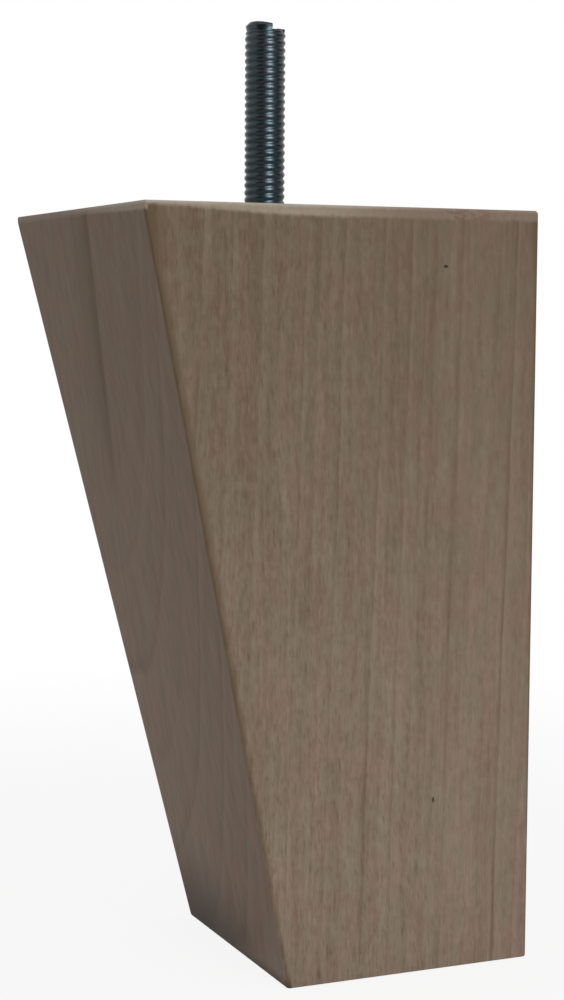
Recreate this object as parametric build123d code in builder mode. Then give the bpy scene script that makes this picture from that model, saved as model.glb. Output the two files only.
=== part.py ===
from build123d import *
import os
from math import radians, tan

# Tapered wooden furniture leg with a double-ended screw in its top.
# Millimetres, +Z up. The origin lies on the floor, straight below the screw's axis.
# The front (-Y) and right (+X) sides are plumb, the left (-X) and back (+Y) sides are raked.

# Wooden block
leg_height = 143.0
top_side = 78.5
foot_side = 50.3
upright_arris_radius = 1.0
sanded_bevel_inset = 0.45
sanded_bevel_drop = 1.5
top_arris = 0.45
foot_arris = 0.4

# Machine-thread end, drawn plain at its major diameter
stud_length = 37.0
thread_major_diameter = 7.94
thread_root_diameter = 6.2

# Plain shank between the two threads
shank_diameter = 7.0
shank_length = 5.0

# Wood-screw end, with its coarse thread and a plain point
wood_major_diameter = 7.94
wood_root_diameter = 5.8
wood_pitch = 2.82
wood_crest_width = 0.3
wood_flank_angle = 30.0
wood_thread_length = 26.0
point_length = 7.0
point_tip_diameter = 0.8

# Stepped bore that takes the screw
shank_bore_clearance = 0.1
mouth_chamfer = 0.5
pilot_spare_depth = 3.0
drill_point_angle = 118.0

# Depth by which the thread's ridge is rooted in the core
ridge_root = 0.15

# Sizes that follow from the ones above
half_top = top_side / 2
rake = (top_side - foot_side) / leg_height
stud_top = leg_height + stud_length
stud_tip_chamfer = (thread_major_diameter - thread_root_diameter) / 2
thread_runout = (thread_major_diameter - shank_diameter) / 2
shank_end = leg_height - shank_length
core_radius = wood_root_diameter / 2
core_start = shank_end - (shank_diameter - wood_root_diameter) / 2
core_end = core_start - wood_thread_length
point_end = core_end - point_length
ridge_height = (wood_major_diameter - wood_root_diameter) / 2
ridge_foot = ridge_height + ridge_root
ridge_foot_width = wood_crest_width + 2 * ridge_foot * tan(radians(wood_flank_angle))
shank_bore_radius = wood_major_diameter / 2 + shank_bore_clearance
pilot_end = point_end - pilot_spare_depth
drill_point_depth = core_radius / tan(radians(drill_point_angle / 2))

os.makedirs("parts", exist_ok=True)

# Coarse thread of the wood-screw end: a V ridge wound round the core and faded at both ends
with BuildPart() as wood_thread:
    with BuildLine():
        Helix(pitch=wood_pitch, height=wood_thread_length, radius=core_radius, center=(0, 0, core_end))
    with BuildSketch(Plane.XZ):
        with BuildLine():
            Polyline(
                (core_radius - ridge_root, core_end - ridge_foot_width / 2),
                (wood_major_diameter / 2, core_end - wood_crest_width / 2),
                (wood_major_diameter / 2, core_end + wood_crest_width / 2),
                (core_radius - ridge_root, core_end + ridge_foot_width / 2),
                close=True,
            )
        make_face()
    sweep(is_frenet=True)
    with BuildSketch(Plane.XZ):
        with BuildLine():
            Polyline(
                (0, core_end),
                (core_radius - ridge_root, core_end),
                (wood_major_diameter / 2 + ridge_root, core_end + wood_pitch),
                (wood_major_diameter / 2 + ridge_root, core_start - wood_pitch),
                (core_radius - ridge_root, core_start),
                (0, core_start),
                close=True,
            )
        make_face()
    revolve(axis=Axis.Z, mode=Mode.INTERSECT)

# Double-ended screw, turned to one profile from its free tip down to its point
with BuildPart() as hanger_bolt:
    with BuildSketch(Plane.XZ):
        with BuildLine():
            Polyline(
                (0, stud_top),
                (thread_root_diameter / 2, stud_top),
                (thread_major_diameter / 2, stud_top - stud_tip_chamfer),
                (thread_major_diameter / 2, leg_height),
                (shank_diameter / 2, leg_height - thread_runout),
                (shank_diameter / 2, shank_end),
                (core_radius, core_start),
                (core_radius, core_end),
                (point_tip_diameter / 2, point_end),
                (0, point_end),
                close=True,
            )
        make_face()
    revolve(axis=Axis.Z)
    add(wood_thread.part)
hanger_bolt.part.label = "hanger_bolt"
export_step(hanger_bolt.part, "parts/hanger_bolt.step")

# The way each side faces, how much it leans in for each millimetre down,
# and its top edge's bevel: its inset on the top face and its drop down the side
up = Vector(0, 0, 1)
leans = {(0, -1): 0, (-1, 0): rake, (0, 1): rake, (1, 0): 0}
bevels = {
    (0, -1): (sanded_bevel_inset, sanded_bevel_drop),
    (-1, 0): (sanded_bevel_inset, sanded_bevel_drop),
    (0, 1): (top_arris, top_arris),
    (1, 0): (top_arris, top_arris),
}

# Block: a square blank with its left and back sides sawn to a taper
with BuildPart() as leg_block:
    with BuildSketch(Plane.XY.offset(leg_height)):
        Rectangle(top_side, top_side)
    extrude(amount=-leg_height)
    for facing, lean in leans.items():
        if lean:
            outward = Vector(*facing, 0)
            taper = Plane(origin=outward * half_top + up * leg_height, z_dir=outward - up * lean)
            split(bisect_by=taper, keep=Keep.BOTTOM)

    # Softened uprights, sanded top edges and a crisp foot
    uprights = leg_block.edges().filter_by(lambda edge: abs(edge.tangent_at(0.5).Z) > 0.5)
    fillet(uprights, radius=upright_arris_radius)
    for facing, (inset, drop) in bevels.items():
        outward = Vector(*facing, 0)
        reach = inset - drop * leans[facing]
        bevel = Plane(origin=outward * (half_top - inset) + up * leg_height, z_dir=outward * drop + up * reach)
        split(bisect_by=bevel, keep=Keep.BOTTOM)
    foot_face = leg_block.faces().sort_by(Axis.Z)[0]
    chamfer(foot_face.edges(), length=foot_arris)

    # Stepped bore: chamfered mouth, shank bore, pilot bore and drill point
    with BuildSketch(Plane.XZ):
        with BuildLine():
            Polyline(
                (0, leg_height),
                (shank_bore_radius + mouth_chamfer, leg_height),
                (shank_bore_radius, leg_height - mouth_chamfer),
                (shank_bore_radius, core_start),
                (core_radius, core_start),
                (core_radius, pilot_end),
                (0, pilot_end - drill_point_depth),
                close=True,
            )
        make_face()
    revolve(axis=Axis.Z, mode=Mode.SUBTRACT)

    # The screw's thread has cut its own way into the wood round the pilot bore
    add(wood_thread.part, mode=Mode.SUBTRACT)
leg_block.part.label = "leg_block"
export_step(leg_block.part, "parts/leg_block.step")
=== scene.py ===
import math

import bpy
from mathutils import Matrix, Vector


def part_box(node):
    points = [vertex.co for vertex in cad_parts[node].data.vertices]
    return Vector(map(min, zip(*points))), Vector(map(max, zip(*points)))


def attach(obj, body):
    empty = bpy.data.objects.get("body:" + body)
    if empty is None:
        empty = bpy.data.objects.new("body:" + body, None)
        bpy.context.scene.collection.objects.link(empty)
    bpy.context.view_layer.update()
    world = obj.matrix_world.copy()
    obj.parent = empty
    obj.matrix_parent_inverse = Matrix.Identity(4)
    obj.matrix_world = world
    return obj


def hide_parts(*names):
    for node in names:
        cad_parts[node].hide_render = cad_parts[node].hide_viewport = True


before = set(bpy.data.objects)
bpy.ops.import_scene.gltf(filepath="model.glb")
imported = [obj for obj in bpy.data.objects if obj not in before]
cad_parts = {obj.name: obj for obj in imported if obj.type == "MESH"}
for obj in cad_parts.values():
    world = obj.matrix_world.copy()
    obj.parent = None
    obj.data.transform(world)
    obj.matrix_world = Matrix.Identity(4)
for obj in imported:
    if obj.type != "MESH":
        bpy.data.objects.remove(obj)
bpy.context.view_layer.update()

# Visual model of a tapered wooden furniture leg: its block, and the double-ended screw in its top

mm = 0.001
weldReach = 0.0005 * mm  # points closer than this become one
cutReach = 0.0001 * mm  # the usual threshold would merge parts of a thread this fine
scene = bpy.context.scene


# Modelling by operators

def selectNothing():
    if bpy.context.object and bpy.context.object.mode != "OBJECT":
        bpy.ops.object.mode_set(mode="OBJECT")
    bpy.ops.object.select_all(action="DESELECT")


def makeActive(piece):
    selectNothing()
    piece.select_set(True)
    bpy.context.view_layer.objects.active = piece


def editAll(piece):
    makeActive(piece)
    bpy.ops.object.mode_set(mode="EDIT")
    bpy.ops.mesh.select_all(action="SELECT")


def editNothing(piece, kind):
    makeActive(piece)
    bpy.ops.object.mode_set(mode="EDIT")
    bpy.ops.mesh.select_mode(type=kind)
    bpy.ops.mesh.select_all(action="DESELECT")


# Opens edit mode with only those faces selected whose middle and normal pass the test
def pickFaces(piece, test):
    editNothing(piece, "FACE")
    bpy.ops.object.mode_set(mode="OBJECT")
    for face in piece.data.polygons:
        face.select = test(face.center, face.normal)
    bpy.ops.object.mode_set(mode="EDIT")


# Opens edit mode with only those edges selected whose two ends pass the test
def pickEdges(piece, test):
    editNothing(piece, "EDGE")
    bpy.ops.object.mode_set(mode="OBJECT")
    points = piece.data.vertices
    for edge in piece.data.edges:
        start, end = (points[index].co for index in edge.vertices)
        edge.select = test(start, end)
    bpy.ops.object.mode_set(mode="EDIT")


# Draws a line of (radius, height) points in the XZ plane by extruding one vertex along it
def drawProfile(name, points, closed=False):
    selectNothing()
    bpy.ops.mesh.primitive_plane_add(size=mm)
    piece = bpy.context.object
    piece.name = piece.data.name = name
    bpy.ops.object.mode_set(mode="EDIT")
    bpy.ops.mesh.select_mode(type="VERT")
    bpy.ops.mesh.select_all(action="SELECT")
    bpy.ops.mesh.merge(type="CENTER")
    places = [Vector((radius, 0, height)) for radius, height in points]
    bpy.ops.transform.translate(value=places[0])
    for here, there in zip(places, places[1:]):
        bpy.ops.mesh.extrude_region_move(TRANSFORM_OT_translate={"value": there - here})
    if closed:
        bpy.ops.mesh.select_all(action="SELECT")
        bpy.ops.mesh.edge_face_add()
        bpy.ops.mesh.delete(type="ONLY_FACE")
    bpy.ops.object.mode_set(mode="OBJECT")
    return piece


def mergeAndFaceOut(piece):
    editAll(piece)
    bpy.ops.mesh.remove_doubles(threshold=weldReach)
    bpy.ops.mesh.normals_make_consistent(inside=False)
    bpy.ops.object.mode_set(mode="OBJECT")


# Turns a profile once round the screw's axis, as on a lathe
def lathe(name, points, steps):
    piece = drawProfile(name, points)
    editAll(piece)
    bpy.ops.mesh.spin(steps=steps, angle=math.tau, center=(0, 0, 0), axis=(0, 0, 1))
    bpy.ops.object.mode_set(mode="OBJECT")
    mergeAndFaceOut(piece)
    return piece


def applyModifier(piece, kind, **settings):
    makeActive(piece)
    modifier = piece.modifiers.new(kind.lower(), kind)
    for setting, value in settings.items():
        setattr(modifier, setting, value)
    bpy.ops.object.modifier_apply(modifier=modifier.name)


# Winds a profile up the axis, right-handed
def wind(piece, rise, turns, steps, angle=math.tau):
    applyModifier(
        piece, "SCREW", axis="Z", angle=angle, screw_offset=rise, iterations=turns,
        steps=steps, render_steps=steps, use_smooth_shade=False,
    )


# Takes off what lies beyond the point on the normal's side, and closes the cut
def cutAway(piece, point, normal):
    editAll(piece)
    bpy.ops.mesh.bisect(
        plane_co=point, plane_no=normal, use_fill=True, clear_outer=True, threshold=cutReach
    )
    bpy.ops.object.mode_set(mode="OBJECT")


def combine(piece, tool, operation):
    applyModifier(piece, "BOOLEAN", operation=operation, object=tool, solver="EXACT")
    bpy.data.objects.remove(tool)


def copyPiece(piece, name):
    twin = piece.copy()
    twin.data = piece.data.copy()
    twin.name = twin.data.name = name
    scene.collection.objects.link(twin)
    return twin


def finishShading(piece, angle):
    makeActive(piece)
    bpy.ops.object.shade_smooth_by_angle(angle=math.radians(angle))
    applyModifier(piece, "WEIGHTED_NORMAL", mode="FACE_AREA", keep_sharp=True)


# The wooden block

blockLook = {
    "topSide": 78.5 * mm,
    "footSide": 50.3 * mm,
    "arrisRadius": 0.7 * mm,
    "arrisSegments": 5,
    "stripLean": 0.3,  # how far a sanded strip leans in for each millimetre of its drop
    "frontDrop": (0.8 * mm, 2.1 * mm),  # at its left and right ends
    "leftDrop": (1.5 * mm, 1.9 * mm),  # at its back and front ends
    "plainArris": 0.45 * mm,
    "footArris": 0.4 * mm,
    "footSegments": 2,
    "smoothAngle": 35,
}

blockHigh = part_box("leg_block")[1]
boltLow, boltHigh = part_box("hanger_bolt")
legHeight = blockHigh.z
halfTop = blockLook["topSide"] / 2
rake = (blockLook["topSide"] - blockLook["footSide"]) / legHeight


# Cuts a strip off a top edge: outward is the side it faces, drops are its heights at the two ends
def sandStrip(block, outward, lean, drops, inwardShare):
    along = Vector((-outward.y, outward.x, 0))
    top = Vector((0, 0, legHeight))
    sidePoints = []
    for end, drop in zip((-1, 1), drops):
        onSide = outward * (halfTop - lean * drop) + along * end * halfTop + top
        sidePoints.append(onSide - Vector((0, 0, drop)))
    onTop = outward * (halfTop - drops[0] * inwardShare) - along * halfTop + top
    normal = (sidePoints[1] - sidePoints[0]).cross(onTop - sidePoints[0]).normalized()
    if normal.dot(outward) < 0:
        normal = -normal
    cutAway(block, sidePoints[0], normal)


def makeBlock():
    look = blockLook
    selectNothing()
    bpy.ops.mesh.primitive_cube_add(
        size=1, location=(0, 0, legHeight / 2), scale=(look["topSide"], look["topSide"], legHeight)
    )
    block = bpy.context.object
    block.name = block.data.name = "legBlock"
    bpy.ops.object.transform_apply(location=True, rotation=True, scale=True)

    # the foot is drawn in towards the plumb corner, which rakes the left and back sides
    shrink = look["footSide"] / look["topSide"]
    pickFaces(block, lambda centre, normal: normal.z < -0.9)
    bpy.ops.transform.resize(value=(shrink, shrink, 1), center_override=(halfTop, -halfTop, 0))

    pickEdges(block, lambda start, end: abs(start.z - end.z) > legHeight / 2)
    bpy.ops.mesh.bevel(offset=look["arrisRadius"], segments=look["arrisSegments"], affect="EDGES")

    plain = (look["plainArris"],) * 2
    sandStrip(block, Vector((0, -1, 0)), 0, look["frontDrop"], look["stripLean"])
    sandStrip(block, Vector((-1, 0, 0)), rake, look["leftDrop"], look["stripLean"])
    sandStrip(block, Vector((0, 1, 0)), rake, plain, 1)
    sandStrip(block, Vector((1, 0, 0)), 0, plain, 1)

    pickEdges(block, lambda start, end: max(start.z, end.z) < 0.001 * mm)
    bpy.ops.mesh.bevel(offset=look["footArris"], segments=look["footSegments"], affect="EDGES")
    bpy.ops.object.mode_set(mode="OBJECT")
    return block


# The double-ended screw and the bore that takes it

screwLook = {
    "majorRadius": 3.97 * mm,
    "rootRadius": 3.68 * mm,
    "pitch": 1.411 * mm,
    "crestAbove": 17.64 * mm,  # a crest's height over the wood's top, on the side that faces +X
    "steps": 56,
    "skin": 0.05 * mm,  # how far a cutting shape stands off the shape that it cuts
    "spare": 1.0 * mm,  # how far one runs past its end
    "spareTurns": (1.5, 2),  # of the free thread below the wood's top and above the tip, before they are cut off
    "studDepth": 0.9 * mm,  # how far the free thread's own shape goes down into the wood
    "runoutDepth": 0.5 * mm,  # where its run-out has become the shank
    "tipRadius": 3.1 * mm,
    "coreChamfer": (0.55 * mm, 0.8 * mm),  # how far in and how far down
    "coreBelowTip": 1.5 * mm,  # the core's sawn end lies this far under the last turn's top
    "coreSpare": 0.5 * mm,
    # the last turn, which runs on above that end
    "endAngle": 270,  # where it stops, in degrees round the axis
    "endArc": 300,  # how far round it goes
    "endBelowTip": 0.25 * mm,
    "endSection": [  # radius, and height over its middle, in mm
        (2.3, -1.5), (3.5, -1.5), (3.74, -0.6), (3.82, -0.3), (3.82, 0.2), (3.72, 0.5), (3.5, 0.7), (2.3, 0.7),
    ],
    "endSteps": 50,
    "endTilt": 13,  # its top is rubbed off at a slant, which rises towards endRise
    "endRise": 200,
    "endLift": 0.02 * mm,
    "shankRadius": 3.5 * mm,
    "shankLength": 5.0 * mm,
    "neck": (3.3 * mm, 0.4 * mm, 0.2 * mm),  # where the shank enters the stud: radius, below and above the wood's top
    "coreRadius": 2.9 * mm,
    "woodPitch": 2.82 * mm,
    "woodCrest": 0.3 * mm,
    "woodFlank": 30,
    "woodThreadLength": 26.0 * mm,
    "woodSteps": 40,
    "woodSpareTurns": 3,
    "woodMargin": 0.02 * mm,
    "ridgeRoot": 0.15 * mm,
    "pointRadius": 0.4 * mm,
    "boreRadius": 4.07 * mm,
    "mouthChamfer": 0.5 * mm,
    "pilotSpare": 3.0 * mm,
    "drillAngle": 118,
    "latheSteps": 64,
    "fadeSteps": 48,
    "studSteps": 71,  # corners in the same directions as the shank's would leave slits where the two meet
    "smoothAngle": 50,
}

shankEnd = legHeight - screwLook["shankLength"]
coreStart = shankEnd - (screwLook["shankRadius"] - screwLook["coreRadius"])
coreEnd = coreStart - screwLook["woodThreadLength"]
pointEnd = boltLow.z


# Stepped bore with a chamfered mouth and a drill point, and the groove that the screw cuts in it
def boreBlock(block, woodThread):
    look = screwLook
    above = look["spare"]
    pilotEnd = pointEnd - look["pilotSpare"]
    drillDepth = look["coreRadius"] / math.tan(math.radians(look["drillAngle"] / 2))
    cutter = lathe("boreCutter", [
        (0, legHeight + above),
        (look["boreRadius"] + look["mouthChamfer"] + above, legHeight + above),
        (look["boreRadius"], legHeight - look["mouthChamfer"]),
        (look["boreRadius"], coreStart),
        (look["coreRadius"], coreStart),
        (look["coreRadius"], pilotEnd),
        (0, pilotEnd - drillDepth),
    ], look["latheSteps"])
    combine(block, cutter, "DIFFERENCE")
    combine(block, woodThread, "DIFFERENCE")


# Coarse thread of the wood-screw end, faded at both ends
def makeWoodThread():
    look = screwLook
    pitch = look["woodPitch"]
    inner = look["coreRadius"] - look["skin"]
    crest = look["woodCrest"] / 2
    foot = crest + (look["majorRadius"] - inner) * math.tan(math.radians(look["woodFlank"]))
    start = coreEnd - pitch
    profile = [(inner, -pitch / 2), (inner, -foot), (look["majorRadius"], -crest),
               (look["majorRadius"], crest), (inner, foot), (inner, pitch / 2)]
    turns = math.ceil((coreStart - coreEnd) / pitch) + look["woodSpareTurns"]
    thread = drawProfile("woodThread", [(radius, start + height) for radius, height in profile])
    wind(thread, pitch, turns, look["woodSteps"])
    mergeAndFaceOut(thread)
    cutAway(thread, (0, 0, coreEnd - look["woodMargin"]), (0, 0, -1))
    cutAway(thread, (0, 0, coreStart + look["woodMargin"]), (0, 0, 1))
    buried = look["coreRadius"] - look["ridgeRoot"]
    full = look["majorRadius"] + look["ridgeRoot"]
    fade = lathe("fadeEnvelope", [
        (0, coreEnd), (buried, coreEnd), (full, coreEnd + pitch),
        (full, coreStart - pitch), (buried, coreStart), (0, coreStart),
    ], look["fadeSteps"])
    combine(thread, fade, "INTERSECT")
    return thread


# One turn of the free thread, from the middle of one root to the next: (share of pitch, share of depth)
threadTurn = [
    (-0.5, 0), (-0.44, 0.04), (-0.38, 0.16), (-0.31, 0.38), (-0.24, 0.62), (-0.17, 0.82), (-0.1, 0.95),
    (0, 1), (0.1, 0.95), (0.17, 0.82), (0.24, 0.62), (0.31, 0.38), (0.38, 0.16), (0.44, 0.04), (0.5, 0),
]


# The last turn runs on above the core's sawn end and stops short, as a rolled thread does
def makeThreadEnd(coreTop, tip):
    look = screwLook
    arc = look["endArc"]
    climb = look["pitch"] * arc / 360
    middle = tip - look["endBelowTip"] - climb
    section = [(radius * mm, middle + height * mm) for radius, height in look["endSection"]]
    end = drawProfile("threadEnd", section, closed=True)
    wind(end, climb, 1, look["endSteps"], math.radians(arc))
    editNothing(end, "EDGE")
    bpy.ops.mesh.select_non_manifold()
    bpy.ops.mesh.edge_face_add()
    bpy.ops.mesh.select_all(action="SELECT")
    bpy.ops.transform.rotate(  # with no window this turns the other way, hence the minus
        value=-math.radians(look["endAngle"] - arc), orient_axis="Z", center_override=(0, 0, 0)
    )
    bpy.ops.object.mode_set(mode="OBJECT")
    mergeAndFaceOut(end)
    tilt, toward = math.radians(look["endTilt"]), math.radians(look["endRise"])
    slant = Vector((-math.sin(tilt) * math.cos(toward), -math.sin(tilt) * math.sin(toward), math.cos(tilt)))
    cutAway(end, (0, 0, (coreTop + tip) / 2 + look["endLift"]), slant)
    return end


def makeStud():
    look = screwLook
    pitch = look["pitch"]
    depth = look["majorRadius"] - look["rootRadius"]
    tip = boltHigh.z
    coreTop = tip - look["coreBelowTip"]
    bottom = legHeight - look["studDepth"]
    crest = legHeight + look["crestAbove"]
    spareBelow, spareAbove = look["spareTurns"]
    start = crest - math.ceil((crest - bottom) / pitch + spareBelow) * pitch
    turns = math.ceil((tip - start) / pitch) + spareAbove
    stud = drawProfile("stud", [
        (look["rootRadius"] + share * depth, start + along * pitch) for along, share in threadTurn
    ])
    wind(stud, pitch, turns, look["steps"])
    mergeAndFaceOut(stud)
    cutAway(stud, (0, 0, bottom), (0, 0, -1))
    cutAway(stud, (0, 0, coreTop + look["coreSpare"]), (0, 0, 1))

    # the core's sawn end has a chamfer
    outer = look["majorRadius"] + look["skin"]
    chamferIn, chamferDown = look["coreChamfer"]
    below = bottom - look["spare"]
    blank = lathe("studBlank", [
        (0, below), (outer, below), (outer, coreTop - chamferDown), (outer - chamferIn, coreTop), (0, coreTop),
    ], look["studSteps"])
    combine(stud, blank, "INTERSECT")
    combine(stud, makeThreadEnd(coreTop, tip), "UNION")

    # chamfered tip, and a run-out where the thread goes into the wood
    inner = look["shankRadius"] - look["skin"]
    foot = bottom + look["skin"]
    envelope = lathe("studEnvelope", [
        (0, foot), (inner, foot), (inner, legHeight - look["runoutDepth"]),
        (outer, legHeight + look["skin"]), (outer, tip - (outer - look["tipRadius"])),
        (look["tipRadius"], tip), (0, tip),
    ], look["studSteps"])
    combine(stud, envelope, "INTERSECT")
    return stud


def makeBolt(woodThread):
    look = screwLook
    stud = makeStud()
    neckRadius, neckBelow, neckAbove = look["neck"]
    bolt = lathe("hangerBolt", [
        (0, pointEnd), (look["pointRadius"], pointEnd), (look["coreRadius"], coreEnd),
        (look["coreRadius"], coreStart), (look["shankRadius"], shankEnd),
        (look["shankRadius"], legHeight - neckBelow), (neckRadius, legHeight + neckAbove),
        (0, legHeight + neckAbove),
    ], look["latheSteps"])
    combine(bolt, stud, "UNION")
    combine(bolt, woodThread, "UNION")
    return bolt


legBlock = makeBlock()
print("block shaped:", len(legBlock.data.polygons), "faces")
woodThread = makeWoodThread()
boreBlock(legBlock, copyPiece(woodThread, "grooveCutter"))
mergeAndFaceOut(legBlock)
finishShading(legBlock, blockLook["smoothAngle"])
print("block bored:", len(legBlock.data.polygons), "faces")
hangerBolt = makeBolt(woodThread)
finishShading(hangerBolt, screwLook["smoothAngle"])
print("bolt made:", len(hangerBolt.data.polygons), "faces")


# Material nodes

# A colour written as 0 to 255, as read off a screen
def screenColor(red, green, blue):
    channels = [channel / 255 for channel in (red, green, blue)]
    return tuple(c / 12.92 if c <= 0.04045 else ((c + 0.055) / 1.055) ** 2.4 for c in channels) + (1,)


def feed(tree, socket, value):
    if isinstance(value, bpy.types.NodeSocket):
        tree.links.new(value, socket)
    else:
        socket.default_value = value


# A shader node with its settings; inputs has a value or another node's output for each input's name or number
def addNode(tree, kind, inputs, **settings):
    node = tree.nodes.new("ShaderNode" + kind)
    for setting, value in settings.items():
        setattr(node, setting, value)
    for key, value in inputs.items():
        feed(tree, node.inputs[key], value)
    return node


def calc(tree, operation, *values):
    return addNode(tree, "Math", dict(enumerate(values)), operation=operation).outputs[0]


def times(tree, first, second):
    return calc(tree, "MULTIPLY", first, second)


def plus(tree, first, second):
    return calc(tree, "ADD", first, second)


def minus(tree, first, second):
    return calc(tree, "SUBTRACT", first, second)


# How far a noise is off its middle, times a strength
def swing(tree, value, strength):
    return times(tree, minus(tree, value, 0.5), strength)


def vectorCalc(tree, operation, *values):
    node = addNode(tree, "VectorMath", dict(enumerate(values)), operation=operation)
    return node.outputs["Value" if operation in ("LENGTH", "DOT_PRODUCT") else "Vector"]


# 0 below low, 1 above high, smooth between; low above high turns it round
def band(tree, value, low, high, fromValue=0.0, toValue=1.0):
    limits = {"Value": value, "From Min": low, "From Max": high, "To Min": fromValue, "To Max": toValue}
    return addNode(tree, "MapRange", limits, interpolation_type="SMOOTHSTEP").outputs["Result"]


def blend(tree, share, first, second, mode="MIX"):
    inputs = {0: share, 6: first, 7: second}
    return addNode(tree, "Mix", inputs, data_type="RGBA", blend_type=mode).outputs[2]


# Lays a screen tone over a colour where a mask says so
def layOver(tree, color, mask, strength, tone):
    return blend(tree, times(tree, mask, strength), color, screenColor(*tone))


# Outputs of a noise texture: a value first, and a Color
def noise(tree, vector, detail, roughness=0.5):
    return addNode(tree, "TexNoise", {
        "Vector": vector, "Scale": 1, "Detail": detail, "Roughness": roughness,
    }).outputs


def splitVector(tree, vector):
    return addNode(tree, "SeparateXYZ", {0: vector}).outputs


def joinVector(tree, *parts):
    return addNode(tree, "CombineXYZ", dict(enumerate(parts))).outputs[0]


def inMillimetres(tree, vector):
    return vectorCalc(tree, "MULTIPLY", vector, (1000, 1000, 1000))


def distanceFromAxis(tree, x, y):
    return calc(tree, "SQRT", plus(tree, times(tree, x, x), times(tree, y, y)))


# An empty node group with its named sockets: inputs are (name, kind, value), outputs are (name, kind)
def newGroup(name, inputs, outputs):
    tree = bpy.data.node_groups.new(name, "ShaderNodeTree")
    for label, kind, value in inputs:
        socket = tree.interface.new_socket(label, in_out="INPUT", socket_type="NodeSocket" + kind)
        if value is not None:
            socket.default_value = value
    for label, kind in outputs:
        tree.interface.new_socket(label, in_out="OUTPUT", socket_type="NodeSocket" + kind)
    return tree, tree.nodes.new("NodeGroupInput").outputs, tree.nodes.new("NodeGroupOutput").inputs


def useGroup(tree, group, **values):
    return addNode(tree, "Group", values, node_tree=group).outputs


logLook = {
    "place": (114, -21.3, 0),  # where the part's origin lies from the pith, in mm
    "tilt": -0.06,  # of the grain, in radians
    "swirlReach": (14, 14, 38),
    "swirlWidth": 4,  # mm for each unit of Waver
    "meanRadius": 125,  # at which the way round the pith is measured
}


# Place in the log: millimetres round the pith, out from it, and up along the grain
def makeLogPlace():
    look = logLook
    tree, given, out = newGroup("logPlace", [
        ("Object", "Vector", None), ("Waver", "Float", 0.3),
    ], [("Place", "Vector"), ("Outward", "Vector")])
    straight = addNode(tree, "Mapping", {
        "Vector": given["Object"], "Location": look["place"], "Rotation": (look["tilt"], 0, 0),
        "Scale": (1000, 1000, 1000),
    }).outputs[0]
    swirl = noise(tree, vectorCalc(tree, "MULTIPLY", straight, [1 / reach for reach in look["swirlReach"]]), 3)
    swirl = vectorCalc(tree, "SUBTRACT", swirl["Color"], (0.5, 0.5, 0.5))
    waver = times(tree, given["Waver"], look["swirlWidth"])
    shifted = vectorCalc(tree, "MULTIPLY_ADD", swirl, joinVector(tree, waver, waver, 0.0), straight)
    x, y, z = splitVector(tree, shifted)
    radius = distanceFromAxis(tree, x, y)
    turn = times(tree, calc(tree, "ARCTAN2", y, x), look["meanRadius"])
    feed(tree, out["Place"], joinVector(tree, turn, radius, z))
    outward = joinVector(tree, calc(tree, "DIVIDE", x, radius), calc(tree, "DIVIDE", y, radius), 0.0)
    feed(tree, out["Outward"], outward)
    return tree


ringLook = {
    # the rings that show clearly, from the pith outwards: (radius in mm, dark line before it, pale band after it)
    "inner": [(88.9, 0.2, 0.5), (93.2, 0.4, 0.6), (97.0, 0.15, 0.4), (100.7, 0.5, 0.8), (105.6, 0.4, 0.8),
              (110.6, 0.3, 0.6), (118.2, 0.3, 0.5)],
    "outer": [(120.6, 0.25, 0.55), (125.0, 0.35, 0.6), (132.2, 0.6, 0.45), (137.2, 0.35, 0.4), (140.0, 0.3, 0.15),
              (147.1, 0.45, 0.1), (157.6, 1.0, 0.6)],
    "innerReach": (85, 119.7),  # a ramp takes 32 stops, so there are two
    "outerReach": (119.7, 165),
    # where a ring starts, is darkest, is palest and ends, in mm from its radius
    "steps": (-0.9, -0.12, 0.16, 1.5),
    "yearCurve": 2.2,  # how late in its year the wood darkens
    "yearEnd": (1.0, 0.93),
    # a ring comes and goes: how fast outwards, round the pith and upwards, and how much
    "comesFast": (0.21, 0.02, 0.035),
    "comesBand": (0.3, 0.6, 0.45, 1.0),
}


# A ramp over radii whose value is 0.5 where the wood is plain
def ringRamp(tree, radius, rings, reach):
    inner, outer = reach
    starts, darkest, palest, ends = ringLook["steps"]
    stops = []
    for middle, dark, pale in rings:
        stops += [(middle + starts, 0.5), (middle + darkest, 0.5 - dark / 2),
                  (middle + palest, 0.5 + pale / 2), (middle + ends, 0.5)]
    share = calc(tree, "DIVIDE", minus(tree, radius, inner), outer - inner)
    node = addNode(tree, "ValToRGB", {0: share})
    ramp = node.color_ramp
    while len(ramp.elements) > 1:
        ramp.elements.remove(ramp.elements[0])
    ramp.elements[0].position = 0
    ramp.elements[0].color = (0.5, 0.5, 0.5, 1)
    for place, value in stops:
        ramp.elements.new((place - inner) / (outer - inner)).color = (value, value, value, 1)
    return node.outputs[0]


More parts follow.
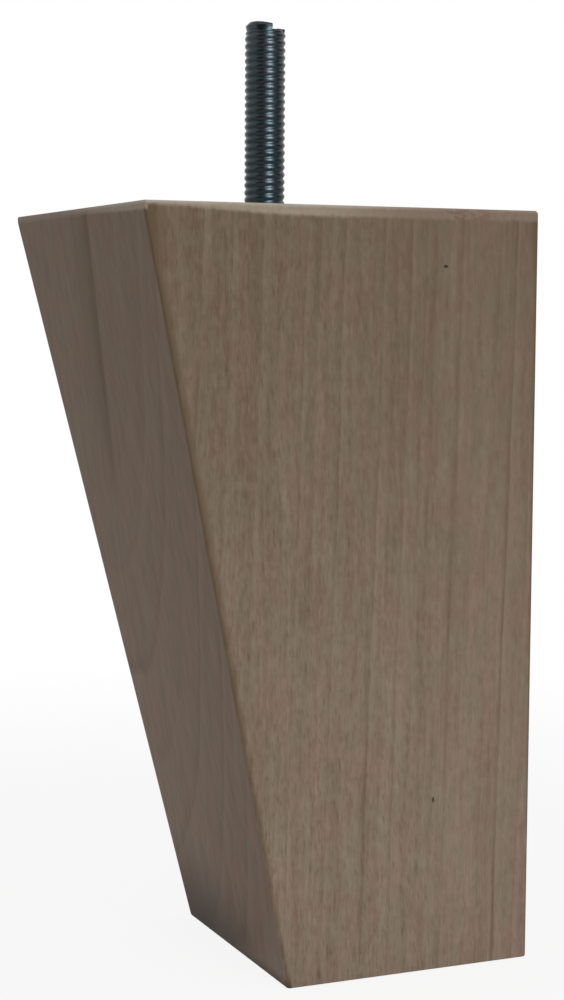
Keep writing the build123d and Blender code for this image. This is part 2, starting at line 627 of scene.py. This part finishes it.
# Growth rings: Faint is every year's slow darkening, Clear has the rings that stand out, 0.5 where plain
def makeGrowthRings():
    look = ringLook
    tree, given, out = newGroup("growthRings", [
        ("Place", "Vector", None), ("Width", "Float", 2.45),
    ], [("Faint", "Float"), ("Clear", "Float")])
    turn, radius, height = splitVector(tree, given["Place"])
    years = calc(tree, "DIVIDE", radius, given["Width"])
    share = calc(tree, "FRACT", years)
    chance = addNode(tree, "TexWhiteNoise", {}, noise_dimensions="1D")
    feed(tree, chance.inputs["W"], calc(tree, "FLOOR", years))
    rise = times(tree, calc(tree, "POWER", share, look["yearCurve"]), band(tree, share, *look["yearEnd"]))
    feed(tree, out["Faint"], times(tree, rise, chance.outputs["Value"]))
    inner = ringRamp(tree, radius, look["inner"], look["innerReach"])
    outer = ringRamp(tree, radius, look["outer"], look["outerReach"])
    clear = minus(tree, plus(tree, inner, outer), 0.5)
    comes = vectorCalc(tree, "MULTIPLY", joinVector(tree, radius, turn, height), look["comesFast"])
    comes = band(tree, noise(tree, comes, 2)[0], *look["comesBand"])
    feed(tree, out["Clear"], plus(tree, 0.5, swing(tree, clear, comes)))
    return tree


fleckLook = {
    "sizes": (0.55, 0.9),  # at its least, and how much chance adds
    "core": 0.35,
    "strengths": (0.3, 0.7),
}


# Short dark lens-shaped ends of the wood rays: thin round the pith, long outwards, a few mm tall
def makeRayFlecks():
    look = fleckLook
    tree, given, out = newGroup("rayFlecks", [
        ("Place", "Vector", None), ("Across", "Float", 0.34), ("Tall", "Float", 4.6),
        ("Deep", "Float", 16.0), ("Size", "Float", 0.3),
    ], [("Fleck", "Float")])
    steps = joinVector(tree, given["Across"], given["Deep"], given["Tall"])
    cells = addNode(tree, "TexVoronoi", {
        "Vector": vectorCalc(tree, "DIVIDE", given["Place"], steps), "Scale": 1,
    }).outputs
    size, strength = (
        plus(tree, times(tree, chance, added), least)
        for chance, (least, added) in zip(splitVector(tree, cells["Color"]), (look["sizes"], look["strengths"]))
    )
    reach = times(tree, given["Size"], size)
    shape = band(tree, cells["Distance"], reach, times(tree, reach, look["core"]))
    feed(tree, out["Fleck"], times(tree, shape, strength))
    return tree


# Streaks along the grain
def makeFibres():
    tree, given, out = newGroup("fibres", [
        ("Place", "Vector", None), ("Across", "Float", 0.5), ("Along", "Float", 20.0),
    ], [("Streak", "Float")])
    reach = joinVector(tree, given["Across"], given["Across"], given["Along"])
    feed(tree, out["Streak"], noise(tree, vectorCalc(tree, "DIVIDE", given["Place"], reach), 3, 0.6)[0])
    return tree


# Soft patches of any size, from 0 to 1, for colour and gloss that vary over a surface
def makePatches():
    tree, given, out = newGroup("patches", [
        ("Object", "Vector", None), ("Wide", "Float", 20.0), ("Tall", "Float", 20.0), ("Edge", "Float", 0.12),
    ], [("Patch", "Float")])
    reach = joinVector(tree, given["Wide"], given["Wide"], given["Tall"])
    cloud = noise(tree, vectorCalc(tree, "DIVIDE", inMillimetres(tree, given["Object"]), reach), 3)[0]
    low, high = minus(tree, 0.5, given["Edge"]), plus(tree, 0.5, given["Edge"])
    feed(tree, out["Patch"], band(tree, cloud, low, high))
    return tree


# Where sanding and sawing changed the surface, and where light and shade are painted on it, in mm.
# Four numbers are a band: from, to, and the values there. Two are a band from 0 to 1.
edgeLook = {
    "roughGrain": (0.9, 0.9, 0.22),
    "fuzzGrain": (0.8, 0.8, 0.5),
    "frontWeight": 2.5,  # the rubbed arris is this much narrower on the front
    "otherWeight": 1.5,
    "widthByHeight": (0, 95, 0.55, 1.0),
    "flareUnderTop": (15, 0, 0.0, 3.4),
    "ragged": 1.6,
    "rubbedCore": 0.15,
    "leftFaceFrom": (0.3, 0.7),
    "leftFaceTo": (3.0, 2.0),
    "leftFaceLoss": 0.7,
    "fuzz": 0.8,
    "frontDrop": (-halfTop / mm, -8, 0.75, 2.1),
    "frontEdge": (0.35, -0.55),
    "leftDrop": (-halfTop / mm, 10, 1.7, 1.0),
    "leftEdge": (0.3, -0.5),
    "leftFade": (15, -35, 0.2, 0.8),
    "ownSide": (0.8, 0.6),  # a strip keeps to within this of its own side
    # painted highlight along the top edge of the sanded strips
    "rimHighlightFuzz": 0.5,
    "rimHighlight": (0.75, 0.05),
    # painted shade: the left side darkens towards its foot, most towards the back, with a dark line along the foot
    # edge
    "paintedFootShade": (20.0, -2.0),
    "paintedFootShadeFromFront": (3, 42, 0.04, 1.0),
    "paintedFootShadeLine": (3.2, -0.8),
    "footSide": (1.2, 0.6),
}


# Masks of the sanded arrises and strips, a painted highlight along the strips' top edge, and painted shade near the
# foot
def makeSandedEdgesAndPaintedLight():
    look = edgeLook
    tree, given, out = newGroup("sandedEdgesAndPaintedLight", [
        ("Object", "Vector", None), ("Half Top", "Float", halfTop / mm), ("Height", "Float", legHeight / mm),
        ("Rake", "Float", rake), ("Arris Width", "Float", 2.0),
    ], [("Arris", "Float"), ("Strip", "Float"), ("Rim Highlight", "Float"), ("Foot Shade", "Float")])
    place = inMillimetres(tree, given["Object"])
    x, y, z = splitVector(tree, place)
    below = minus(tree, given["Height"], z)
    lean = times(tree, given["Rake"], below)
    fromLeft = minus(tree, plus(tree, x, given["Half Top"]), lean)
    fromFront = plus(tree, y, given["Half Top"])
    fromRight = minus(tree, given["Half Top"], x)
    fromBack = minus(tree, minus(tree, given["Half Top"], lean), y)
    rough = noise(tree, vectorCalc(tree, "MULTIPLY", place, look["roughGrain"]), 3, 0.6)[0]
    fuzz = noise(tree, vectorCalc(tree, "MULTIPLY", place, look["fuzzGrain"]), 3, 0.6)[0]

    # the arris beside the plumb front is rubbed yellowish, widest at its top
    nearest = plus(tree, fromLeft, times(tree, fromFront, look["frontWeight"]))
    for one, other in ((fromRight, fromFront), (fromLeft, fromBack), (fromRight, fromBack)):
        nearest = calc(tree, "MINIMUM", nearest, times(tree, plus(tree, one, other), look["otherWeight"]))
    width = times(tree, given["Arris Width"], band(tree, z, *look["widthByHeight"]))
    width = plus(tree, width, band(tree, below, *look["flareUnderTop"]))
    ragged = plus(tree, nearest, swing(tree, rough, look["ragged"]))
    rubbed = band(tree, ragged, width, times(tree, width, look["rubbedCore"]))
    onSide = times(tree, band(tree, fromFront, *look["leftFaceFrom"]), band(tree, fromLeft, *look["leftFaceTo"]))
    kept = minus(tree, 1.0, times(tree, onSide, look["leftFaceLoss"]))
    feed(tree, out["Arris"], times(tree, rubbed, kept))

    # the sanded strips on the front and left top edges
    strips = []
    for side, alongIt, fromSide in (("front", x, fromFront), ("left", y, fromLeft)):
        drop = band(tree, alongIt, *look[side + "Drop"])
        over = plus(tree, minus(tree, below, drop), swing(tree, fuzz, look["fuzz"]))
        over = band(tree, over, *look[side + "Edge"])
        strips.append(times(tree, over, band(tree, fromSide, *look["ownSide"])))
    onFront, onLeft = strips
    onLeft = times(tree, onLeft, band(tree, y, *look["leftFade"]))
    feed(tree, out["Strip"], calc(tree, "MAXIMUM", onFront, onLeft))
    # painted highlight in the top row of the strips, where their rounded top faces the light
    feed(tree, out["Rim Highlight"], band(tree, plus(tree, below, swing(tree, fuzz, look["rimHighlightFuzz"])), *look["rimHighlight"]))

    # painted shade on the left side near the foot, strongest towards the back, and a darker line along the foot edge
    foot = times(tree, band(tree, z, *look["paintedFootShade"]), band(tree, fromFront, *look["paintedFootShadeFromFront"]))
    foot = calc(tree, "MAXIMUM", foot, band(tree, z, *look["paintedFootShadeLine"]))
    feed(tree, out["Foot Shade"], times(tree, foot, band(tree, fromLeft, *look["footSide"])))
    return tree


logPlace = makeLogPlace()
growthRings = makeGrowthRings()
rayFlecks = makeRayFlecks()
fibres = makeFibres()
patches = makePatches()
sandedEdgesAndPaintedLight = makeSandedEdgesAndPaintedLight()


def emptyTree(owner):
    owner.use_nodes = True
    owner.node_tree.nodes.clear()
    return owner.node_tree


def newMaterial(name):
    material = bpy.data.materials.new(name)
    tree = emptyTree(material)
    shader = addNode(tree, "BsdfPrincipled", {})
    addNode(tree, "OutputMaterial", {"Surface": shader.outputs[0]})
    coords = addNode(tree, "TexCoord", {})
    return material, tree, shader, coords.outputs


def bumpFrom(tree, height, distance):
    return addNode(tree, "Bump", {"Height": height, "Strength": 1.0, "Distance": distance}).outputs[0]


beechLook = {
    "pinkish": (121, 100, 85),
    "greyish": (117, 103, 86),
    "hueReach": (3.6, 12.0, 0.22),  # width, height and soft edge of those two tones' patches
    # painted light: the wood is painted paler, and its colour drifts bluer, from its top to its foot, as if lit from
    # below
    "paintedLightToFoot": (0.955, 1.275),  # how much paler the wood gets from its top to its foot
    "paintedLightTint": (0.985, 1.01, 1.085),  # and which way its colour drifts there
    "grainTint": (0.8, 1.03, 1.2),  # how much of the grain each of red, green and blue takes
    # streaks: how far across and how far along the grain one is, in mm
    "streaks": {"wide": (3.2, 80.0), "broad": (1.0, 28.0), "medium": (0.42, 3.4), "fine": (0.17, 1.4)},
    "mottleReach": (700, 700, 560),
    "shadeOf": {"wide": 0.5, "broad": 0.5},
    "textureOf": {"medium": 0.6, "fine": 0.3, "mottle": 0.36},
    "faint": 0.1,
    # ray flecks: across, tall, deep and size
    "flecks": {"long": (0.34, 4.6, 16.0, 0.3), "short": (0.23, 2.4, 9.0, 0.33), "pale": (0.29, 3.1, 12.0, 0.33)},
    "fleck": (84, 68, 54),
    "fleckStrength": 0.46,
    "paleFleck": (142, 127, 112),
    "paleStrength": 0.3,
    # how strong flecks and texture are by how far the surface faces out from the pith: rising, then falling
    "endOn": ((0.33, 0.5, 0.3, 1.0), (0.62, 0.8, 1.0, 0.15)),
    "grain": ((0.33, 0.47, 0.72, 1.15), (0.62, 0.85, 1.0, 0.26)),
    "ringLine": (84, 66, 54),
    "ringPale": (140, 124, 108),
    "ringStrength": (1.1, 0.9),
    "arris": (100, 81, 60),
    "arrisStrength": 0.85,
    # the strips' colour is sanded wood's, and also painted light from above
    "strip": (165, 151, 135),  # at the left end of the front, and all along the left side
    "stripRight": (137, 119, 106),
    "stripChange": (-12 * mm, 14 * mm),
    "stripStrength": 0.9,
    "stripGrain": 0.3,
    "rimHighlight": (184, 174, 162),
    # painted highlight along the strips' top edge, strongest at the left end
    "rimHighlightByPlace": (20 * mm, -5 * mm, 0.25, 0.9),
    "stripMark": (122, 84, 68),
    "marks": (1.6, 0.8, 0.05),
    "marksStrength": 0.6,
    "scar": 24 * mm,  # where along the front its strip is scarred
    "scarFade": (7 * mm, 2 * mm, 0.12, 1.0),
    "stain": (80, 63, 38),
    "stainStrength": 0.66,
    "stainTop": (-6.4, 139.7),  # y and z in mm on the left side
    "stainEnd": (6.5, 87.8),
    "stainWander": 3,
    "stainCore": (4.0, 0.4),
    "stainHalo": (16.0, 2.0),
    "stainFront": (-1.0, 0.4),  # how sharply it ends towards the front
    "stainFade": (-8, 24),  # and round its lower end
    "stainSide": (-22, -30),
    "speck": (38, 26, 22),
    "specks": [  # x, y, z and half width and height in mm
        (19.7, -39.25, 132.4, 0.62, 0.38), (18.5, -39.25, 32.8, 0.28, 0.75),
    ],
    "speckEdge": (1.3, 0.7),
    "speckFray": 0.5,
    "speckStrength": 0.9,
    # painted shade near the foot of the left side
    "paintedFootShade": (54, 43, 33),
    "paintedFootShadeStrength": 0.95,
    "endGrain": (0.72, 0.67, 0.62, 1),  # multiplied over the side grain
    "endFace": (0.7, 0.9),  # how far a face has to look up or down to show it
    "relief": 0.03 * mm,
    "reliefOf": {"fine": 0.5, "medium": 0.4},
    "fleckDepth": 0.5,
    "roughness": (0.58, 0.12),  # at its least, and how much the grain adds
    "specular": 0.2,
}


# A dark stain in the grain of the left side, which drifts back as it goes down
def stainMask(tree, here, streak):
    look = beechLook
    x, y, z = splitVector(tree, inMillimetres(tree, here))
    (topY, topZ), (endY, endZ) = look["stainTop"], look["stainEnd"]
    drift = (endY - topY) / (topZ - endZ)
    middle = plus(tree, topY, times(tree, minus(tree, topZ, z), drift))
    away = plus(tree, minus(tree, y, middle), swing(tree, streak, look["stainWander"]))
    core, halo = (times(tree, band(tree, away, *look[part]), 0.5) for part in ("stainCore", "stainHalo"))
    mask = times(tree, plus(tree, core, halo), band(tree, away, *look["stainFront"]))
    mask = times(tree, mask, band(tree, z, *(endZ + reach for reach in look["stainFade"])))
    return times(tree, mask, band(tree, x, *look["stainSide"]))


def speckMask(tree, here, fine, speck):
    x, y, z, halfWidth, halfTall = speck
    gap = vectorCalc(tree, "SUBTRACT", here, (x * mm, y * mm, z * mm))
    gap = vectorCalc(tree, "MULTIPLY", gap, (1000 / halfWidth, 1000 / halfWidth, 1000 / halfTall))
    reach = plus(tree, vectorCalc(tree, "LENGTH", gap), times(tree, fine, beechLook["speckFray"]))
    return band(tree, reach, *beechLook["speckEdge"])


# The sanded strips' colour: paler than the wood, as sanded wood is, and painted paler still for the light from above
# that they catch; scarred in one place
def makeStripColor(tree, here, across, medium):
    look = beechLook
    wide, tall, edge = look["marks"]
    marks = useGroup(tree, patches, Object=here, Wide=wide, Tall=tall, Edge=edge)["Patch"]
    fromScar = calc(tree, "ABSOLUTE", minus(tree, across, look["scar"]))
    marks = times(tree, marks, band(tree, fromScar, *look["scarFade"]))
    change = band(tree, across, *look["stripChange"])
    color = blend(tree, change, screenColor(*look["strip"]), screenColor(*look["stripRight"]))
    color = layOver(tree, color, marks, look["marksStrength"], look["stripMark"])
    return blend(tree, 1.0, color, plus(tree, 1.0, swing(tree, medium, look["stripGrain"])), "MULTIPLY")


def makeBeech():
    look = beechLook
    material, tree, shader, coords = newMaterial("beechSanded")
    here = coords["Object"]
    across, depth, height = splitVector(tree, here)
    log = useGroup(tree, logPlace, Object=here)
    rings = useGroup(tree, growthRings, Place=log["Place"])
    streaks, flecks = {}, {}
    for name, (wide, along) in look["streaks"].items():
        streaks[name] = useGroup(tree, fibres, Place=log["Place"], Across=wide, Along=along)["Streak"]
    for name, (wide, tall, deep, size) in look["flecks"].items():
        sizes = {"Across": wide, "Tall": tall, "Deep": deep, "Size": size}
        flecks[name] = useGroup(tree, rayFlecks, Place=log["Place"], **sizes)["Fleck"]
    streaks["mottle"] = noise(tree, vectorCalc(tree, "MULTIPLY", here, look["mottleReach"]), 2)[0]
    edges = useGroup(tree, sandedEdgesAndPaintedLight, Object=here)

    # the rays are seen end-on where the surface faces out from the pith
    out = calc(tree, "ABSOLUTE", vectorCalc(tree, "DOT_PRODUCT", coords["Normal"], log["Outward"]))
    endOn, grain = (
        times(tree, *(band(tree, out, *limits) for limits in look[part])) for part in ("endOn", "grain")
    )

    # two tones in patches, then painted light that makes the wood paler and bluer towards the foot
    wide, tall, edge = look["hueReach"]
    hue = useGroup(tree, patches, Object=here, Wide=wide, Tall=tall, Edge=edge)["Patch"]
    color = blend(tree, hue, screenColor(*look["greyish"]), screenColor(*look["pinkish"]))
    paleTop, paleFoot = look["paintedLightToFoot"]
    topTone, footTone = (paleTop,) * 3 + (1,), tuple(paleFoot * tint for tint in look["paintedLightTint"]) + (1,)
    color = blend(tree, 1.0, color, blend(tree, band(tree, height, legHeight, 0), topTone, footTone), "MULTIPLY")

    # streaks and fine texture, each of red, green and blue by its own share
    texture, shade = 0.0, 0.0
    for name, strength in look["textureOf"].items():
        texture = plus(tree, texture, swing(tree, streaks[name], strength))
    for name, strength in look["shadeOf"].items():
        shade = plus(tree, shade, swing(tree, streaks[name], strength))
    shade = plus(tree, shade, times(tree, texture, grain))
    shade = minus(tree, shade, times(tree, rings["Faint"], look["faint"]))
    shades = [plus(tree, 1.0, times(tree, shade, tint)) for tint in look["grainTint"]]
    color = blend(tree, 1.0, color, joinVector(tree, *shades), "MULTIPLY")

    # clear rings, the stain, ray flecks and two dark specks
    dark = calc(tree, "MAXIMUM", minus(tree, 0.5, rings["Clear"]), 0.0)
    pale = calc(tree, "MAXIMUM", minus(tree, rings["Clear"], 0.5), 0.0)
    color = layOver(tree, color, dark, look["ringStrength"][0], look["ringLine"])
    color = layOver(tree, color, pale, look["ringStrength"][1], look["ringPale"])
    color = layOver(tree, color, stainMask(tree, here, streaks["broad"]), look["stainStrength"], look["stain"])
    color = layOver(tree, color, times(tree, flecks["pale"], endOn), look["paleStrength"], look["paleFleck"])
    fleckShare = times(tree, calc(tree, "MAXIMUM", flecks["long"], flecks["short"]), look["fleckStrength"])
    fleckShare = times(tree, fleckShare, endOn)
    color = blend(tree, fleckShare, color, screenColor(*look["fleck"]))
    for speck in look["specks"]:
        mask = speckMask(tree, here, streaks["fine"], speck)
        color = layOver(tree, color, mask, look["speckStrength"], look["speck"])

    # end grain is darker, because its cut pores drink the light
    upward = calc(tree, "ABSOLUTE", splitVector(tree, coords["Normal"])[2])
    endFace = band(tree, upward, *look["endFace"])
    color = blend(tree, endFace, color, blend(tree, 1.0, color, look["endGrain"], "MULTIPLY"))

    # sanded arrises; the strips, sanded and painted paler for light from above; a painted highlight along their top
    # edge; and painted shade near the foot
    color = layOver(tree, color, edges["Arris"], look["arrisStrength"], look["arris"])
    stripColor = makeStripColor(tree, here, across, streaks["medium"])
    color = blend(tree, times(tree, edges["Strip"], look["stripStrength"]), color, stripColor)
    # painted highlight along the strips' top edge, strongest at the left end
    rimHighlight = times(tree, edges["Strip"], band(tree, across, *look["rimHighlightByPlace"]))
    color = layOver(tree, color, edges["Rim Highlight"], rimHighlight, look["rimHighlight"])
    # painted shade near the foot of the left side
    color = layOver(tree, color, edges["Foot Shade"], look["paintedFootShadeStrength"], look["paintedFootShade"])
    feed(tree, shader.inputs["Base Color"], color)

    relief = times(tree, fleckShare, -look["fleckDepth"])
    for name, strength in look["reliefOf"].items():
        relief = plus(tree, relief, times(tree, streaks[name], strength))
    feed(tree, shader.inputs["Normal"], bumpFrom(tree, times(tree, relief, grain), look["relief"]))
    least, added = look["roughness"]
    feed(tree, shader.inputs["Roughness"], plus(tree, least, times(tree, streaks["medium"], added)))
    shader.inputs["Specular IOR Level"].default_value = look["specular"]
    return material


zincLook = {
    "blue": (60, 66, 71),
    "teal": (53, 64, 65),
    "tealReach": (2.2, 1.6, 0.1),  # width, height and soft edge of its patches in mm
    "violet": (67, 68, 72),
    "violetReach": (3.1, 4.0, 0.08),
    "violetStrength": 0.5,
    # painted shade: a darker colour in the roots of the thread
    "root": (45, 51, 53),
    "rootShadeBand": (3.8, 3.52),
    "rootShadeStrength": 0.5,
    "grainReach": (0.5, 0.35, 0.3),
    "roughness": (0.29, 0.05),  # at its least, and how much the grain adds
    "relief": 0.0015 * mm,
}


def makeZinc():
    look = zincLook
    material, tree, shader, coords = newMaterial("zincPlated")
    here = coords["Object"]
    spread = {}
    for name in ("teal", "violet", "grain"):
        wide, tall, edge = look[name + "Reach"]
        spread[name] = useGroup(tree, patches, Object=here, Wide=wide, Tall=tall, Edge=edge)["Patch"]
    color = blend(tree, spread["teal"], screenColor(*look["blue"]), screenColor(*look["teal"]))
    color = layOver(tree, color, spread["violet"], look["violetStrength"], look["violet"])
    x, y, z = splitVector(tree, inMillimetres(tree, here))
    # painted shade in the roots of the thread
    deep = band(tree, distanceFromAxis(tree, x, y), *look["rootShadeBand"])
    color = layOver(tree, color, deep, look["rootShadeStrength"], look["root"])
    feed(tree, shader.inputs["Base Color"], color)
    shader.inputs["Metallic"].default_value = 1.0
    least, added = look["roughness"]
    feed(tree, shader.inputs["Roughness"], plus(tree, least, times(tree, spread["grain"], added)))
    feed(tree, shader.inputs["Normal"], bumpFrom(tree, spread["grain"], look["relief"]))
    return material


legBlock.data.materials.clear()
legBlock.data.materials.append(makeBeech())
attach(legBlock, "root")
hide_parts("leg_block")

hangerBolt.data.materials.clear()
hangerBolt.data.materials.append(makeZinc())
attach(hangerBolt, "root")
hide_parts("hanger_bolt")
print("materials made")


# Floor, world, lamps, cards and camera

stageLook = {
    "floorSize": 8.0,
    "floorDrop": 0.02 * mm,
    "floorColor": (0.8, 0.8, 0.8, 1),
    "floorGlow": (0.88, 1.0),  # beside the object, and where the floor meets the white backdrop
    "floorFade": (0.10, 0.34),
    "skyColor": (1.0, 0.985, 0.985, 1),
    "skyStrength": 0.566,
    "lampColor": (0.98, 1.01, 0.93),
    "keyPlace": (0.09, -0.60, 0.22),
    "keyAim": (0, 0, 0.15),
    "keySize": (0.045, 0.24),
    "keyPower": 0.47,
    "softPlace": (0.07, -0.27, 0.02),
    "softAim": (0.0, -0.04, 0.02),
    "softSize": (0.10, 0.10),
    "softPower": 0.198,
    # a tall strip that lights the screw alone
    "pinPlace": (0.060, -0.429, 0.41),
    "pinAim": (0, 0, 0.16),
    "pinSize": (0.21, 0.62),
    "pinPower": 4.1,
    "pinColor": (0.74, 0.95, 1.0),
    # dark cards that only the metal mirrors: (degrees from -Y towards +X, how far off, width, grey level)
    "cards": [(-43, 0.3, 0.36, 0.13), (62, 0.3, 0.22, 0.22), (15, 0.65, 0.66, 0.35)],
    "cardHeight": 0.17,
    "cardRise": (-0.7, 2.6),  # how far they reach down and up from there for each metre that they stand off
    "underCard": (0.07, 0.55, 0.3 * mm),  # one over the wood's top: its side, grey level and height above it
}


# 1 for a ray of any of these kinds
def raysOf(tree, *kinds):
    path = addNode(tree, "LightPath", {}).outputs
    found = 0.0
    for kind in kinds:
        found = calc(tree, "MAXIMUM", found, path[f"Is {kind} Ray"])
    return found


def makeFloor():
    look = stageLook
    selectNothing()
    bpy.ops.mesh.primitive_plane_add(size=look["floorSize"], location=(0, 0, -look["floorDrop"]))
    floor = bpy.context.object
    floor.name = floor.data.name = "floor"
    material = bpy.data.materials.new("paleFloor")
    tree = emptyTree(material)
    matt = addNode(tree, "BsdfDiffuse", {"Color": look["floorColor"]})
    glow = addNode(tree, "Emission", {"Color": (1, 1, 1, 1)})
    away = vectorCalc(tree, "LENGTH", addNode(tree, "TexCoord", {}).outputs["Object"])
    glowShare = band(tree, away, *look["floorFade"], *look["floorGlow"])
    share = times(tree, raysOf(tree, "Camera", "Glossy"), glowShare)
    mix = addNode(tree, "MixShader", {0: share, 1: matt.outputs[0], 2: glow.outputs[0]})
    addNode(tree, "OutputMaterial", {"Surface": mix.outputs[0]})
    floor.data.materials.append(material)


def makeWorld():
    look = stageLook
    world = bpy.data.worlds.new("studio")
    scene.world = world
    tree = emptyTree(world)
    white = addNode(tree, "Background", {"Color": (1, 1, 1, 1)})
    sky = addNode(tree, "Background", {"Color": look["skyColor"], "Strength": look["skyStrength"]})
    seen = raysOf(tree, "Camera", "Glossy", "Transmission")
    mix = addNode(tree, "MixShader", {0: seen, 1: sky.outputs[0], 2: white.outputs[0]})
    addNode(tree, "OutputWorld", {"Surface": mix.outputs[0]})


def makeLamp(name, place, aim, size, power, color):
    data = bpy.data.lights.new(name, "AREA")
    data.shape = "RECTANGLE"
    data.size, data.size_y = size
    data.energy = power
    data.color = color
    lamp = bpy.data.objects.new(name, data)
    scene.collection.objects.link(lamp)
    lamp.visible_camera = False  # from the other side it would stand in the picture
    lamp.location = place
    lamp.rotation_euler = (Vector(aim) - lamp.location).to_track_quat("-Z", "Y").to_euler()
    return lamp


def makeLamps():
    look = stageLook
    lamps = {}
    for name in ("key", "soft", "pin"):
        lamps[name] = makeLamp(
            name + "Lamp", look[name + "Place"], look[name + "Aim"], look[name + "Size"],
            look[name + "Power"], look.get(name + "Color", look["lampColor"]),
        )
    onlyScrew = bpy.data.collections.new("screwOnly")
    onlyScrew.objects.link(hangerBolt)
    lamps["pin"].light_linking.receiver_collection = onlyScrew


# A glowing card that nothing but a mirroring surface sees
def makeCard(name, place, turned, size, grey):
    selectNothing()
    bpy.ops.mesh.primitive_plane_add(size=1, location=place, rotation=turned)
    card = bpy.context.object
    card.scale = (*size, 1)
    card.name = card.data.name = name
    material = bpy.data.materials.new(name)
    tree = emptyTree(material)
    glow = addNode(tree, "Emission", {"Color": (grey, grey, grey, 1)})
    addNode(tree, "OutputMaterial", {"Surface": glow.outputs[0]})
    card.data.materials.append(material)
    card.visible_camera = card.visible_diffuse = card.visible_shadow = card.visible_transmission = False


def makeCards():
    look = stageLook
    for number, (turn, away, width, grey) in enumerate(look["cards"]):
        turn = math.radians(turn)
        low, high = (look["cardHeight"] + away * rise for rise in look["cardRise"])
        place = (away * math.sin(turn), -away * math.cos(turn), (low + high) / 2)
        makeCard(f"darkCard{number + 1}", place, (math.pi / 2, 0, turn), (width, high - low), grey)
    side, grey, above = look["underCard"]
    makeCard("underCard", (0, 0, legHeight + above), (0, 0, 0), (side, side), grey)


cameraLook = {
    "place": (-0.15769, -0.37334, 0.12429),
    "heading": 23.441,  # degrees from +Y towards +X
    "down": 5.326,
    "roll": 0.364,
    "sensor": 36,  # mm, along the photograph's height
    "lens": 73.48,
    "clip": (0.01, 20),
}


def makeCamera():
    look = cameraLook
    data = bpy.data.cameras.new("photoCamera")
    data.sensor_width = look["sensor"]
    data.lens = look["lens"]
    data.clip_start, data.clip_end = look["clip"]
    camera = bpy.data.objects.new("photoCamera", data)
    scene.collection.objects.link(camera)
    heading, down, roll = (math.radians(look[key]) for key in ("heading", "down", "roll"))
    forward = Vector((math.sin(heading) * math.cos(down), math.cos(heading) * math.cos(down), -math.sin(down)))
    level = Vector((math.cos(heading), -math.sin(heading), 0))
    upright = level.cross(forward)
    right = level * math.cos(roll) + upright * math.sin(roll)
    up = right.cross(forward)
    turned = Matrix((right, up, -forward)).transposed().to_4x4()
    camera.matrix_world = Matrix.Translation(look["place"]) @ turned
    scene.camera = camera


makeFloor()
makeWorld()
makeLamps()
makeCards()
makeCamera()
scene.view_settings.view_transform = "Standard"
print("stage set")
